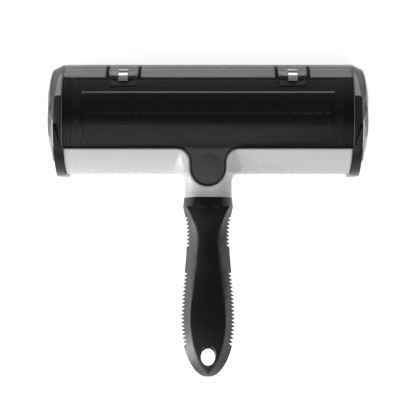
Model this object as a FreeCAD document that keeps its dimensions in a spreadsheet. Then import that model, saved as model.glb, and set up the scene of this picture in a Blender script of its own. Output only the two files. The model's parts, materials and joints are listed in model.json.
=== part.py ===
import FreeCAD, Part
import math
import os

# Pet hair removal brush: a wide roller head with a hinged smoky lid over its hair chamber, a rocking
# lint drum underneath, and a ribbed grip on a white neck behind. Millimetres, +Z up, +X to the right,
# +Y towards the head's front edge. The origin is on the floor, at the middle of the overall length.
# All pieces are drawn from the foot of the head's axis, and each is then placed at head_y.

os.makedirs("parts", exist_ok=True)
doc = FreeCAD.newDocument("PetHairBrush")
V = FreeCAD.Vector

# Driving dimensions: alias, value, what it is
SIZES = [
    ("overall_length", 188.0, "front edge of the head to the tip of the grip"),
    ("overall_width", 195.6, "across the bulging ends of the hood"),
    ("head_depth", 68.0, "front to back of the hood and end plates"),
    ("hood_step", 0.8, "outside of the hood above the lid"),
    ("end_reach", 12.3, "end of the lid to the outside of the hood"),
    ("rim_height", 0.8, "underside of the head above the floor"),
    ("base_thickness", 2.5, "bottom plate"),
    ("lid_wall", 2.0, "lid panel"),
    ("seam", 0.6, "visible gap round the lid and its tongue"),
    ("shell_wall", 2.2, "white housing wall"),
    ("hood_wall", 1.2, "smoky hood and the open skirts round its ends"),
    ("shoulder_reach", 10.8, "length of the rounded end of the hood's front"),
    ("plate_thickness", 5.4, "black end plate"),
    ("plate_corner", 2.0, "rounding of the end plate's front corner"),
    ("plate_web", 1.0, "thin inner part of the end plate, which closes the chamber in front"),
    ("side_gap", 0.3, "between the lid or housing and an end plate"),
    ("drum_inset", 10.0, "end of the drum to the end of the lid"),
    ("drum_wall", 2.0, "drum tube"),
    ("pad_thickness", 1.6, "lint pad"),
    ("pad_margin", 1.0, "bare tube at each end of a pad"),
    ("pad_top_gap", 6.6, "between the pads at the top of the drum"),
    ("pad_bottom_gap", 0.6, "between the pads at the bottom"),
    ("cap_thickness", 3.0, "drum end cap"),
    ("axle_radius", 2.5, "stub axle"),
    ("axle_reach", 6.0, "stub axle beyond the end of the drum"),
    ("bush_radius", 4.5, "bearing bush"),
    ("bush_length", 4.0, "bearing bush"),
    ("bush_gap", 0.2, "between the drum's end and the bush"),
    ("running_gap", 0.05, "radial clearance of a pin or shaft"),
    ("tray_gap", 0.5, "between the drum's end and the tray's end wall"),
    ("tray_wall", 1.5, "chamber tray"),
    ("tray_clear", 1.5, "between the drum and the tray's long walls"),
    ("strip_width", 1.0, "scraper strip on the front lip"),
    ("strip_height", 0.8, "scraper strip at its front"),
    ("strip_rear", 0.35, "the same at its rear, so that its top slopes"),
    ("blade_thickness", 1.5, "wiper blade"),
    ("blade_height", 3.0, "wiper blade above the bottom plate"),
    ("blade_gap", 0.4, "between a blade and the pads"),
    ("post_radius", 3.5, "screw post of the tray"),
    ("post_height", 10.0, "screw post above the bottom plate"),
    ("post_inset", 9.5, "screw posts from the drum's end"),
    ("screw_radius", 1.4, "screw shank"),
    ("screw_length", 9.0, "screw shank"),
    ("screw_head", 2.7, "radius of the screw's head"),
    ("screw_head_height", 1.3, "screw's head"),
    ("screw_recess", 0.3, "screw's head below the underside"),
    ("socket_radius", 0.8, "driver socket in the screw's head"),
    ("bead_radius", 1.3, "rolled front edge of the lid"),
    ("pin_radius", 0.75, "hinge pin"),
    ("pin_length", 24.0, "hinge pin"),
    ("tab_width", 15.0, "hinge tab"),
    ("tab_gap", 0.3, "between a hinge tab and the lid's notch"),
    ("tab_radius", 4.9, "hinge tab's round back, about the hinge"),
    ("hood_edge", 1.5, "hood's rear edge in front of the hinge"),
    ("tongue_edge", 2.3, "spring tab's rear edge in front of the hinge"),
    ("tongue_corner", 1.7, "rounding of the spring tab's corners"),
    ("tongue_slot", 2.0, "slots that free the hood's two spring tabs"),
    ("tongue_width", 17.1, "hood's spring tab between its slots"),
    ("clip_width", 5.5, "bright hinge clip"),
    ("clip_thickness", 0.6, "bright hinge clip"),
    ("clip_ledge", 1.5, "height of the clip's front ledge over the hood"),
    ("clip_ridge", 2.4, "height of the clip's ridge over the hood"),
    ("ridge_width", 1.5, "flat top of that ridge"),
    ("tongue_radius", 10.3, "round end of the lid's tongue"),
    ("tongue_fillet", 8.5, "corner between the tongue and the lid's rear edge"),
    ("crown_height", 0.8, "crowned thumb rest on the tongue"),
    ("crown_radius", 8.4, "crowned thumb rest on the tongue"),
    ("hook_width", 9.0, "catch under the tongue"),
    ("hook_depth", 1.6, "catch, front to back"),
    ("hook_height", 3.2, "catch below the tongue"),
    ("hook_gap", 0.7, "room round the catch in the neck"),
    ("neck_half_width", 14.3, "white neck"),
    ("neck_height", 24.0, "white neck at the grip"),
    ("neck_corner", 9.5, "rounding of the neck's section"),
    ("saddle_half_width", 25.0, "white saddle where the neck leaves the lid's rear edge"),
    ("neck_fillet", 5.0, "round corner between the neck and the body's rear, in plan"),
    ("saddle_ease", 0.4, "how much rounder than the neck the saddle is at its front, as a share"),
    ("grip_rise", 4.0, "degrees that the grip rises towards its tip"),
    ("collar_length", 5.6, "grip's plain collar"),
    ("collar_half_width", 14.5, "grip where it meets the neck"),
    ("flare_half_width", 15.0, "grip at the collar's end"),
    ("waist_half_width", 12.7, "grip at the waist"),
    ("waist_face", 6.4, "half of the flat top face there"),
    ("belly_half_width", 16.1, "grip at the belly"),
    ("belly_face", 10.5, "half of the flat top face there"),
    ("collar_corner", 11.0, "rounding of the collar's section"),
    ("collar_half_height", 12.0, "half the grip's thickness at the collar"),
    ("waist_half_height", 10.4, "half the grip's thickness at the waist"),
    ("belly_half_height", 11.6, "half the grip's thickness at the belly"),
    ("rib_depth", 2.0, "side ribs"),
    ("rib_slant", 1.0, "how far a groove leans from its foot to its mouth"),
    ("front_ribs", 8, "grooves in the front set"),
    ("rear_ribs", 19, "grooves in the rear set"),
    ("eye_offset", 11.9, "middle of the hang hole from the tip"),
    ("eye_half_width", 4.25, "hang hole"),
    ("eye_half_length", 5.15, "hang hole"),
    ("eye_bevel", 1.1, "dished edge of the hang hole"),
    ("core_half_width", 8.0, "neck's core inside the grip"),
    ("core_height", 12.0, "core inside the grip"),
    ("core_corner", 3.5, "rounding of the core's section"),
    ("core_gap", 0.1, "between the core and its socket"),
]

# Lengths that follow the driving ones: alias, formula, what it is
DERIVED = [
    (
        "body_length",
        "overall_width - 2 * end_reach",
        "length of lid and housing between the end plates",
    ),
    ("drum_length", "body_length - 2 * drum_inset", "lint drum"),
    ("post_x", "drum_length / 2 - post_inset", "screw posts from the middle"),
    (
        "shoulder_start",
        "overall_width / 2 - shoulder_reach",
        "where the hood's front corner leaves the front edge",
    ),
    ("body_radius", "head_depth / 2 - hood_step", "outside of the lid and of the white housing"),
    ("hinge_x", "body_length * 50.3 / 171", "hinge tabs from the middle"),
    ("axis_height", "head_depth * 22 / 68", "height of the axis that the head's arcs share"),
    ("drum_radius", "head_depth * 18 / 68", "lint drum over its pads"),
    ("tray_top", "head_depth * 41 / 68", "top of the tray's deck"),
    ("lip_front", "head_depth * 15.4 / 68", "front lip of the tray's mouth, from the head axis"),
    ("lip_rear", "head_depth * 16.1 / 68", "rear lip of the tray's mouth"),
    ("deck_front", "head_depth * 25.5 / 68", "front edge of the deck"),
    ("deck_rear", "head_depth * 24 / 68", "rear edge of the deck"),
    ("lid_rear", "head_depth * 17.5 / 68", "lid's straight rear edge behind the head axis"),
    (
        "shoulder_front",
        "head_depth * 13.4 / 68",
        "slanting rear edge of the hood's shoulder, at the skirt",
    ),
    (
        "shoulder_rear",
        "head_depth * 19.6 / 68",
        "the same edge where it meets the lid, behind the axis",
    ),
    ("plate_front", "head_depth * 13.2 / 68", "front edge of the end plate, from the head axis"),
    ("rear_flat", "head_depth * 32.4 / 68", "flat rear of the white body, behind the head axis"),
    ("skirt_rear", "head_depth * 28.2 / 68", "rear end of the skirt, behind the head axis"),
    ("hinge_offset", "head_depth * 22.8 / 68", "lid hinge in front of the head axis"),
    ("tab_rear", "head_depth * 19 / 68", "rear face of the hinge tab, from the head axis"),
    ("slot_bottom", "head_depth * 31 / 68", "height of the lower end of those slots"),
    ("clip_front", "head_depth * 29.4 / 68", "front end of the clip, from the head axis"),
    ("clip_rear", "head_depth * 22 / 68", "rear end of the clip"),
    ("ridge_front", "head_depth * 26.7 / 68", "front of the clip's ridge"),
    (
        "tangent_offset",
        "head_depth * 10 / 68",
        "where the tongue leaves the lid's arc, behind the axis",
    ),
    ("tongue_centre", "head_depth * 29.4 / 68", "centre of that round end, behind the axis"),
    ("hook_offset", "head_depth * 22.5 / 68", "catch behind the head axis"),
    ("collar_offset", "head_depth * 47.4 / 68", "where the grip starts, behind the head axis"),
    ("neck_axis_height", "head_depth * 34 / 68", "middle of the neck at the grip"),
    (
        "grip_length",
        "(overall_length - head_depth / 2 - collar_offset) / cos(grip_rise * 1 deg)",
        "grip along its own axis",
    ),
    ("waist_position", "grip_length * 24 / 107", "narrowest place from the grip's start"),
    ("belly_position", "grip_length * 73 / 107", "widest place from the grip's start"),
    ("front_rib_start", "grip_length * 12.8 / 107", "first groove of the front set"),
    ("rear_rib_start", "grip_length * 46.2 / 107", "first groove of the rear set"),
    ("rib_pitch", "grip_length * 2.32 / 107", "side ribs"),
    ("core_length", "grip_length * 66 / 107", "core inside the grip"),
    ("rib_groove", "rib_pitch * 0.905", "width of a groove at its mouth"),
    ("head_y", "(overall_length - head_depth) / 2", "head axis in front of the origin"),
]

sheet = doc.addObject("Spreadsheet::Sheet", "Sizes")
lines = [(alias, str(value), note) for alias, value, note in SIZES]
lines += [(alias, "=" + formula, note) for alias, formula, note in DERIVED]
for row, (alias, text, note) in enumerate(lines, start=1):
    sheet.set(f"A{row}", note)
    sheet.set(f"B{row}", text)
    sheet.setAlias(f"B{row}", alias)
doc.recompute()


def size(alias):
    """The number in the sheet's cell of that alias."""
    return float(sheet.get(alias))


def cells(text):
    """The expression with each alias of the sheet written as a cell of it."""
    names = {alias for alias, _, _ in lines}
    word, out = "", ""
    for letter in text + " ":
        if letter.isalnum() or letter == "_":
            word += letter
        else:
            out += ("Sizes." + word if word in names else word) + letter
            word = ""
    return out.strip()


nodes = {}


def node(name, obj):
    """Names a finished sub-part and moves it from the head's axis to the head's place."""
    obj.Label = name
    own = [text for prop, text in obj.ExpressionEngine if prop.endswith("Placement.Base.y")]
    obj.setExpression("Placement.Base.y", " + ".join([cells("head_y")] + own))
    nodes[name] = obj
    return obj


def shaped(name, shape):
    """A sub-part whose form Part's own functions make."""
    obj = doc.addObject("Part::Feature", "Shape_" + name)
    obj.Shape = shape
    return obj


def bound(kind, name, at=("0", "0", "0"), turn=None, **sizes):
    """A Part primitive whose sizes and place are expressions of the sheet's cells."""
    obj = doc.addObject("Part::" + kind, name)
    if turn:
        obj.Placement = FreeCAD.Placement(V(0, 0, 0), turn)
    for prop, text in sizes.items():
        obj.setExpression(prop, cells(text))
    for axis, text in zip("xyz", at):
        obj.setExpression("Placement.Base." + axis, cells(text))
    return obj


ALONG_X = FreeCAD.Rotation(V(0, 1, 0), 90)


def box(name, low, lengths):
    """A block from its lowest corner and its three lengths."""
    return bound("Box", name, low, Length=lengths[0], Width=lengths[1], Height=lengths[2])


def rod(name, radius, start, length, y="0", z="axis_height"):
    """A round bar along X that starts at start."""
    return bound("Cylinder", name, (start, y, z), ALONG_X, Radius=radius, Height=length)


def fuse(name, parts):
    obj = doc.addObject("Part::MultiFuse", name)
    obj.Shapes = parts
    return obj


def cut(name, base, tool):
    obj = doc.addObject("Part::Cut", name)
    obj.Base = base
    obj.Tool = tool
    return obj


def common(name, parts):
    obj = doc.addObject("Part::MultiCommon", name)
    obj.Shapes = parts
    return obj


# Places that several pieces share
AXIS_Z = size("axis_height")
BODY_R = size("body_radius")
LID_R = BODY_R - size("lid_wall")
HOOD_R = size("head_depth") / 2
HALF_BODY = size("body_length") / 2
PLATE_IN = HALF_BODY + size("side_gap")
PLATE_OUT = PLATE_IN + size("plate_thickness")
RIM_Z = size("rim_height")
BASE_TOP = RIM_Z + size("base_thickness")
HINGE_Y = size("hinge_offset")
HINGE_Z = AXIS_Z + math.sqrt((BODY_R - size("bead_radius")) ** 2 - HINGE_Y**2)
HINGE_ANGLE = math.degrees(math.atan2(HINGE_Z - AXIS_Z, HINGE_Y))
FAR = size("overall_length")


def arc_height(radius, y):
    """Height of the head's arc of that radius at y."""
    return AXIS_Z + math.sqrt(radius**2 - y**2)


def block(x0, x1, y0, y1, z0, z1):
    return Part.makeBox(x1 - x0, y1 - y0, z1 - z0, V(x0, y0, z0))


def head_rod(radius, x0, x1):
    """A round bar on the head's axis."""
    return Part.makeCylinder(radius, x1 - x0, V(x0, 0, AXIS_Z), V(1, 0, 0))


def dome(radius, x0, x1):
    """A bar with the head's section: round above the axis, straight down to the rim."""
    straight = block(x0, x1, -radius, radius, RIM_Z, AXIS_Z)
    lower = block(x0, x1, -radius, radius, RIM_Z - radius, RIM_Z)
    return head_rod(radius, x0, x1).fuse(straight).cut(lower).removeSplitter()


# The slope of the tongue: a plane that leaves the lid's arc at tangent_offset
TANGENT_Z = arc_height(BODY_R, size("tangent_offset"))
TONGUE_SLOPE = size("tangent_offset") / (TANGENT_Z - AXIS_Z)


def tongue_height(y):
    """Height of the tongue's top at y, behind the axis."""
    return TANGENT_Z + TONGUE_SLOPE * (y + size("tangent_offset"))


def tongue_outline(grow):
    """Plan of the tongue with its two corner fillets, grown by a seam, as a face at height 0."""
    r = size("tongue_radius") + grow
    y_end = -size("tongue_centre")
    y_rear = -size("lid_rear") - grow
    fillet = size("tongue_fillet") - grow
    y_fillet = y_rear - fillet
    x_out = r + fillet
    y_in = -size("tangent_offset")
    half = math.sqrt(0.5) * fillet
    edges = [
        Part.LineSegment(V(-x_out, y_rear, 0), V(-x_out, y_in, 0)).toShape(),
        Part.LineSegment(V(-x_out, y_in, 0), V(x_out, y_in, 0)).toShape(),
        Part.LineSegment(V(x_out, y_in, 0), V(x_out, y_rear, 0)).toShape(),
        Part.Arc(
            V(x_out, y_rear, 0), V(x_out - half, y_fillet + half, 0), V(r, y_fillet, 0)
        ).toShape(),
        Part.LineSegment(V(r, y_fillet, 0), V(r, y_end, 0)).toShape(),
        Part.Arc(V(r, y_end, 0), V(0, y_end - r, 0), V(-r, y_end, 0)).toShape(),
        Part.LineSegment(V(-r, y_end, 0), V(-r, y_fillet, 0)).toShape(),
        Part.Arc(
            V(-r, y_fillet, 0), V(-x_out + half, y_fillet + half, 0), V(-x_out, y_rear, 0)
        ).toShape(),
    ]
    return Part.Face(Part.Wire(edges))


def tongue_slab(grow, above, below):
    """The tongue's plate: its outline between two planes parallel to its sloping top."""
    y0, y1 = -size("tongue_centre") - 2 * size("tongue_radius"), -size("tangent_offset")
    wide = 2 * (size("tongue_radius") + size("tongue_fillet"))
    corners = [
        V(-wide, y0, tongue_height(y0) - below),
        V(-wide, y1, tongue_height(y1) - below),
        V(-wide, y1, tongue_height(y1) + above),
        V(-wide, y0, tongue_height(y0) + above),
    ]
    layer = Part.Face(Part.makePolygon(corners + corners[:1])).extrude(V(2 * wide, 0, 0))
    return tongue_outline(grow).extrude(V(0, 0, FAR)).common(layer)


# Lid: a smoky panel on the head's arc, a rolled front edge on the hinge and a tongue at the rear
def make_lid():
    panel = head_rod(BODY_R, -HALF_BODY, HALF_BODY).cut(head_rod(LID_R, -HALF_BODY, HALF_BODY))
    keep = block(-HALF_BODY, HALF_BODY, -size("lid_rear"), HINGE_Y, AXIS_Z, FAR)
    panel = panel.common(keep)
    bead = Part.makeCylinder(
        size("bead_radius"), 2 * HALF_BODY, V(-HALF_BODY, HINGE_Y, HINGE_Z), V(1, 0, 0)
    )
    hook_y = -size("hook_offset")
    hook_top = tongue_height(hook_y) - size("lid_wall") / 2
    hook = block(
        -size("hook_width") / 2,
        size("hook_width") / 2,
        hook_y - size("hook_depth") / 2,
        hook_y + size("hook_depth") / 2,
        hook_top - size("hook_height"),
        hook_top,
    )
    lid = panel.fuse([bead, tongue_slab(0, 0, size("lid_wall")), hook]).removeSplitter()
    crown_y, rise = -size("tongue_centre"), size("crown_height")
    ball = (size("crown_radius") ** 2 + rise**2) / (2 * rise)
    up = V(0, -TONGUE_SLOPE, 1).normalize()
    middle = V(0, crown_y, tongue_height(crown_y)) - up * (ball - rise)
    inset = (size("crown_radius") - size("tongue_radius")) / 2
    crown = Part.makeSphere(ball, middle).common(tongue_slab(inset, 2 * rise, rise / 2))
    lid = lid.fuse(crown).removeSplitter()
    bore = size("pin_radius") + size("running_gap")
    for side in (-1, 1):
        half = size("tab_width") / 2 + size("tab_gap")
        x = side * size("hinge_x")
        lid = lid.cut(block(x - half, x + half, size("tab_rear") - size("seam"), FAR, 0, FAR))
        start = x - size("pin_length") / 2 - size("tab_gap")
        length = size("pin_length") + 2 * size("tab_gap")
        lid = lid.cut(Part.makeCylinder(bore, length, V(start, HINGE_Y, HINGE_Z), V(1, 0, 0)))
    return lid


# Neck: rounded sections from the housing's rear wall to the grip
def rounded_section(y, middle, half_width, half_height, corner, lean=0.0):
    """A closed wire across the handle, its plane leaned by lean degrees."""
    w, h, c = half_width, half_height, corner
    d = c * (1 - math.sqrt(0.5))
    edges = []
    for sx, sz in ((1, 1), (1, -1), (-1, -1), (-1, 1)):
        arc = [(sx * (w - c), sz * h), (sx * (w - d), sz * (h - d)), (sx * w, sz * (h - c))]
        if sx * sz < 0:
            arc.reverse()
        edges.append(arc)
    pieces = []
    for i, arc in enumerate(edges):
        points = [V(x, 0, z) for x, z in arc]
        after = edges[(i + 1) % 4][0]
        pieces.append(Part.Arc(*points).toShape())
        pieces.append(Part.LineSegment(points[2], V(after[0], 0, after[1])).toShape())
    wire = Part.Wire(pieces)
    wire.rotate(V(0, 0, 0), V(1, 0, 0), lean)
    wire.translate(V(0, y, middle))
    return wire


COLLAR_Y = -size("collar_offset")
NECK_Z = size("neck_axis_height")
RISE = size("grip_rise")
GRIP_DIRECTION = V(0, -math.cos(math.radians(RISE)), math.sin(math.radians(RISE)))
GRIP_LENGTH = size("grip_length")


def core_bar(grow, length):
    """The neck's core inside the grip, grown by a gap."""
    half_width, half_height = size("core_half_width") + grow, size("core_height") / 2 + grow
    wires = [
        rounded_section(
            COLLAR_Y + GRIP_DIRECTION.y * u,
            NECK_Z + GRIP_DIRECTION.z * u,
            half_width,
            half_height,
            size("core_corner"),
            -RISE,
        )
        for u in (0, length)
    ]
    return Part.makeLoft(wires, True, True)


def make_housing():
    skin = dome(BODY_R, -HALF_BODY, HALF_BODY)
    hollow = dome(BODY_R - size("shell_wall"), -HALF_BODY, HALF_BODY)
    flat = -size("rear_flat")
    rear = block(-HALF_BODY, HALF_BODY, flat, -size("lid_rear") - size("seam"), BASE_TOP, FAR)
    wall = skin.common(rear)
    low = NECK_Z - size("neck_height") / 2
    front_y = -size("lid_rear") - size("seam")
    tip_y = -size("tongue_centre") - size("tongue_radius")

    def neck_top(y):
        return tongue_height(y) - size("seam") * max(0, (y - tip_y) / (front_y - tip_y))

    def neck_wire(y, half_width, corner):
        top = neck_top(y)
        return rounded_section(y, (top + low) / 2, half_width, (top - low) / 2, corner)

    narrow, fillet, corner = size("neck_half_width"), size("neck_fillet"), size("neck_corner")
    spread = size("saddle_half_width") - narrow - fillet
    saddle = [
        neck_wire(
            flat + (front_y - flat) * t,
            narrow + fillet + spread * t**2,
            corner * (1 + size("saddle_ease") * t),
        )
        for t in (1, 0.75, 0.5, 0.25, 0)
    ]
    web = []
    for angle in (0, 15, 30, 45, 60, 75, 90):
        turn = math.radians(angle)
        y = flat - fillet * (1 - math.cos(turn))
        web.append(neck_wire(y, narrow + fillet * (1 - math.sin(turn)), corner))
    neck = [neck_wire(front_y + (tip_y - front_y) * t, narrow, corner) for t in (0.5, 0.75, 1)]
    half = size("neck_height") / 2
    neck.append(rounded_section(COLLAR_Y, NECK_Z, narrow, half, corner, -RISE))
    pieces = [
        Part.makeLoft(saddle, True, False),
        Part.makeLoft(web, True, True),
        Part.makeLoft(neck, True, False),
    ]
    solid = wall.fuse(pieces).removeSplitter()
    solid = solid.cut(hollow)
    core = core_bar(0, size("core_length"))
    solid = solid.fuse(core)
    solid = solid.cut(tongue_slab(size("seam"), FAR, size("lid_wall") + size("seam")))
    hook_y = -size("hook_offset")
    reach = size("hook_gap") + size("hook_depth") / 2
    side = size("hook_gap") + size("hook_width") / 2
    low = tongue_height(hook_y) - size("lid_wall") / 2 - size("hook_height") - size("hook_gap")
    return solid.cut(block(-side, side, hook_y - reach, hook_y + reach, low, FAR))


# Hood: a smoky shell over the front, with rounded shoulders and thin open skirts round the ends
def half_plan(inset, stretch=1.0):
    """Half of the hood's plan, from the middle to the end's bulge, as a face beside the X axis."""
    out = size("overall_width") / 2 - inset
    front = HOOD_R - inset
    start = size("shoulder_start") - inset / 2
    reach = out - start

    def at(along, down):
        return V(start + along * reach, (1 - down) * front * stretch, 0)

    a, b, c, d, e = at(0, 0), at(0.58, 0.085), at(0.71, 0.19), at(0.78, 0.31), at(1, 1)
    bow = Part.BSplineCurve()
    bow.interpolate([d, at(0.95, 0.67), e])
    corners = [e, V(0, 0, 0), V(0, front * stretch, 0), a, b]
    lines = [Part.LineSegment(p, q).toShape() for p, q in zip(corners, corners[1:])]
    return Part.Face(Part.Wire(lines + [Part.Arc(b, c, d).toShape(), bow.toShape()]))


def hood_body(inset):
    """The hood's outer form as a full body: turned above the axis, straight down below it."""
    plan = half_plan(inset)
    reach = size("overall_width")
    turned = plan.revolve(V(0, 0, 0), V(1, 0, 0), 360)
    upper = turned.common(block(0, reach, -reach, reach, 0, reach))
    lower = plan.extrude(V(0, 0, RIM_Z - AXIS_Z))
    lower = lower.fuse(lower.mirror(V(0, 0, 0), V(0, 1, 0)))
    half = upper.fuse(lower)
    whole = half.fuse(half.mirror(V(0, 0, 0), V(1, 0, 0))).removeSplitter()
    whole.translate(V(0, 0, AXIS_Z))
    return whole


def both_ends(shape):
    return shape.fuse(shape.mirror(V(0, 0, 0), V(1, 0, 0)))


def shoulder_zone(grow):
    """All that lies in front of the slanting edge of the hood's shoulders, outside the lid."""
    x0, y0 = PLATE_IN, -size("shoulder_rear") - grow
    x1, y1 = size("overall_width") / 2 - size("hood_wall"), size("shoulder_front") - grow
    slope = (y1 - y0) / (x1 - x0)
    far_y = y0 + slope * (FAR - x0)
    corners = [V(x0, y0, 0), V(FAR, far_y, 0), V(FAR, 2 * far_y, 0), V(x0, 2 * far_y, 0)]
    plan = Part.Face(Part.makePolygon(corners + corners[:1]))
    return both_ends(plan.extrude(V(0, 0, FAR)))


def at_hinge(shape):
    """Moves a shape to the hinge, with its Z axis along the radius there."""
    shape.rotate(V(0, 0, 0), V(1, 0, 0), HINGE_ANGLE - 90)
    shape.translate(V(0, HINGE_Y, HINGE_Z))
    return shape


def spring_tab_trim(x, half):
    """What is cut from a spring tab's rear end, so that it is shorter and has round corners."""
    end, corner = size("tongue_edge"), size("tongue_corner")
    trim = block(x - half, x + half, -end, end + corner, 0, FAR)
    kept = block(x - half + corner, x + half - corner, end, end + corner, 0, FAR)
    for sign in (-1, 1):
        centre = V(x + sign * (half - corner), end + corner, 0)
        kept = kept.fuse(Part.makeCylinder(corner, FAR, centre))
    return at_hinge(trim.cut(kept))


def make_hood():
    shell = hood_body(0).cut(hood_body(size("hood_wall")))
    edge = at_hinge(block(-PLATE_IN, PLATE_IN, size("hood_edge"), FAR, -FAR, FAR))
    front = block(-PLATE_IN, PLATE_IN, 0, FAR, 0, FAR).common(edge)
    skirt = both_ends(block(PLATE_OUT, FAR, 0, FAR, 0, AXIS_Z))
    kept = shell.common(front.fuse([shoulder_zone(0), skirt]))
    stretch = size("skirt_rear") / HOOD_R
    ring = half_plan(0, stretch).cut(half_plan(size("hood_wall"), stretch))
    ring = ring.extrude(V(0, 0, AXIS_Z - RIM_Z)).mirror(V(0, 0, 0), V(0, 1, 0))
    ring.translate(V(0, 0, RIM_Z))
    rear_skirt = both_ends(ring.common(block(PLATE_OUT, FAR, -FAR, 0, 0, FAR)))
    hood = kept.fuse(rear_skirt).removeSplitter()
    half = size("tongue_width") / 2
    for side in (-1, 1):
        for inner in (-1, 1):
            x = side * size("hinge_x") + inner * (half + size("tongue_slot") / 2)
            slot = size("tongue_slot") / 2
            hood = hood.cut(block(x - slot, x + slot, 0, FAR, size("slot_bottom"), FAR))
        hood = hood.cut(spring_tab_trim(side * size("hinge_x"), half))
    return hood


def make_end_plate(side):
    slab = block(PLATE_IN, PLATE_OUT, -FAR, FAR, RIM_Z, FAR)
    inner = hood_body(size("hood_wall") + size("side_gap"))
    covered = shoulder_zone(size("side_gap"))
    outer = dome(HOOD_R, PLATE_IN, PLATE_OUT)
    plate = slab.common(outer).cut(covered).fuse(slab.common(inner))
    corner, front = size("plate_corner"), size("plate_front")
    kept = block(0, FAR, -FAR, front - corner, 0, FAR)
    kept = kept.fuse(block(0, PLATE_OUT - corner, -FAR, front, 0, FAR))
    kept = kept.fuse(Part.makeCylinder(corner, FAR, V(PLATE_OUT - corner, front - corner, 0)))
    kept = kept.fuse(block(0, PLATE_IN + size("plate_web"), -FAR, FAR, 0, FAR))
    plate = plate.common(kept).removeSplitter()
    return plate if side > 0 else plate.mirror(V(0, 0, 0), V(1, 0, 0))


# Hinge clip: a thin bright strip over the hood's spring tab and the hinge tab, with a ledge and a ridge
def hood_height(y):
    return AXIS_Z + math.sqrt(HOOD_R**2 - y**2)


def make_clip(x):
    half = size("clip_width") / 2
    front, rear = size("clip_front"), size("clip_rear")
    ridge, step = size("ridge_front"), size("clip_thickness")
    top = hood_height(ridge) + size("clip_ridge")
    back = ridge - size("ridge_width")
    tail = back - 1.5 * step
    profile = [
        (front, hood_height(front) + size("clip_ledge")),
        (front - 1.5 * step, hood_height(front - 1.5 * step) + step),
        (ridge, hood_height(ridge) + step),
        (ridge, top),
        (back, top + step / 2),
        (back, hood_height(back) + step / 2),
        (tail, hood_height(tail) + step / 2),
        (tail, hood_height(tail) + step),
        (rear, hood_height(rear) + step),
        (rear, AXIS_Z),
        (front, AXIS_Z),
    ]
    points = [V(x - half, y, z) for y, z in profile]
    side = Part.Face(Part.makePolygon(points + points[:1]))
    return side.extrude(V(2 * half, 0, 0)).cut(head_rod(HOOD_R, x - half, x + half))


# Lint pads: two strips of pile fabric round the drum, parted at the top and the bottom
def make_pad(side):
    radius = size("drum_radius")
    core = radius - size("pad_thickness")
    half = size("drum_length") / 2 - size("pad_margin")
    z = radius
    ring = Part.makeCylinder(radius, 2 * half, V(-half, 0, z), V(1, 0, 0))
    ring = ring.cut(Part.makeCylinder(core, 2 * half, V(-half, 0, z), V(1, 0, 0)))
    top, bottom = size("pad_top_gap") / 2, size("pad_bottom_gap") / 2
    upper = block(-half, half, top, radius, z, 2 * z)
    lower = block(-half, half, bottom, radius, 0, z)
    pad = ring.common(upper.fuse(lower)).removeSplitter()
    return pad if side > 0 else pad.mirror(V(0, 0, 0), V(0, 1, 0))


# Grip: faceted sections whose top face narrows at the waist, and an elliptical tip
def ease(t):
    return t * t * (3 - 2 * t)


def grip_section(u):
    """Half-width, half of the top face and half-height of the grip at u from its start."""
    collar, waist, belly = size("collar_length"), size("waist_position"), size("belly_position")
    if u <= collar:
        t = u / collar
        w = size("collar_half_width") + (size("flare_half_width") - size("collar_half_width")) * t
        return w, 0.86 * w, size("collar_half_height")
    if u <= waist:
        t = (u - collar) / (waist - collar)
        bend = (1 - t) ** 2.2
        w = size("waist_half_width") + (size("flare_half_width") - size("waist_half_width")) * bend
        start_face = 0.86 * size("flare_half_width")
        face = size("waist_face") + (start_face - size("waist_face")) * (1 - t) ** 1.6
        thick = size("collar_half_height") - size("waist_half_height")
        return w, face, size("waist_half_height") + thick * (1 - ease(t))
    if u <= belly:
        t = ease((u - waist) / (belly - waist))
        return tuple(
            size("waist_" + part) + (size("belly_" + part) - size("waist_" + part)) * t
            for part in ("half_width", "face", "half_height")
        )
    t = (u - belly) / (GRIP_LENGTH - belly)
    round_off = math.sqrt(1 - t * t)
    face = size("belly_face") * (1 - t * t) ** 0.9
    return size("belly_half_width") * round_off, face, size("belly_half_height") * round_off**0.8


def grip_wire(u):
    """Eight-sided section with crowned top and bottom faces, at u along the grip."""
    w, a, h = grip_section(u)
    edge, flank = 0.84 * h, 0.30 * h
    ring = [(a, edge), (w, flank), (w, -flank), (a, -edge)]
    ring += [(-x, z) for x, z in reversed(ring)]
    points = [V(x, 0, z) for x, z in ring]
    pieces = []
    for i, p in enumerate(points):
        q = points[(i + 1) % 8]
        if i in (3, 7):
            crown = V(0, 0, h if i == 7 else -h)
            pieces.append(Part.Arc(p, crown, q).toShape())
        else:
            pieces.append(Part.LineSegment(p, q).toShape())
    wire = Part.Wire(pieces)
    wire.rotate(V(0, 0, 0), V(1, 0, 0), -RISE)
    wire.translate(V(0, COLLAR_Y, NECK_Z) + GRIP_DIRECTION * u)
    return wire


def along_grip(shape):
    """Moves a shape drawn along -Y from the origin to the grip's leaning axis."""
    shape.rotate(V(0, 0, 0), V(1, 0, 0), -RISE)
    shape.translate(V(0, COLLAR_Y, NECK_Z))
    return shape


def rib_groove(u):
    """A pair of upright V grooves in the grip's sides at u."""
    w = grip_section(u)[0]
    half = size("rib_groove") / 2
    tall = 2 * size("collar_half_height")
    tip = V(w - size("rib_depth"), -u + size("rib_slant"), -tall)
    mouth = w + size("rib_depth")
    grow = half * (mouth - tip.x) / size("rib_depth")
    corners = [tip, V(mouth, -u + grow, -tall), V(mouth, -u - grow, -tall), tip]
    wedge = Part.Face(Part.makePolygon(corners)).extrude(V(0, 0, 2 * tall))
    return [wedge, wedge.mirror(V(0, 0, 0), V(1, 0, 0))]


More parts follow.
